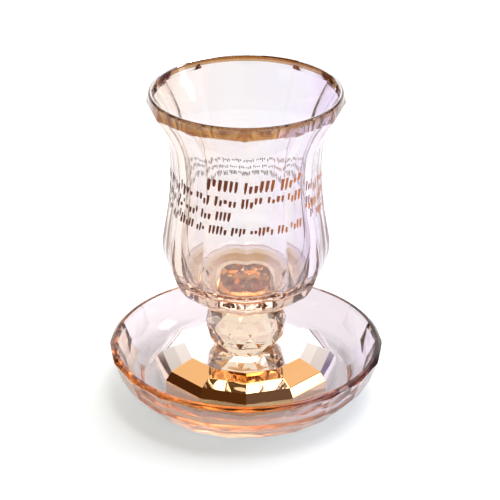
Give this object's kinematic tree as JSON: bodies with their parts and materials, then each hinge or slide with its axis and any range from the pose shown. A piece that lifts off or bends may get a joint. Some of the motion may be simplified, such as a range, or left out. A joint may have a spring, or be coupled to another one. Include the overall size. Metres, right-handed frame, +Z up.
{
  "type": "kiddush cup with dish",
  "caption": "Cut-crystal kiddush cup: a flared, panelled bowl on a faceted ball and a gem-cut foot, standing in a matching faceted drip dish.",
  "frame": {"origin": "centre of the dish's underside, where the set stands on a table", "axes": "+Z up along the axis of the cup and dish, -Y towards the printed side of the cup"},
  "size_m": [0.1182, 0.1182, 0.1384],
  "materials": {
    "dish_crystal": "polished, pale rose lustre",
    "foot_crystal": "polished, champagne lustre",
    "ball_crystal": "polished, pale champagne lustre",
    "bowl_crystal": "polished, pale lilac-rose lustre"
  },
  "bodies": {
    "root": {"dish": "dish_crystal", "foot": "foot_crystal", "knop_ball": "ball_crystal", "bowl": "bowl_crystal"}
  },
  "joints": []
}
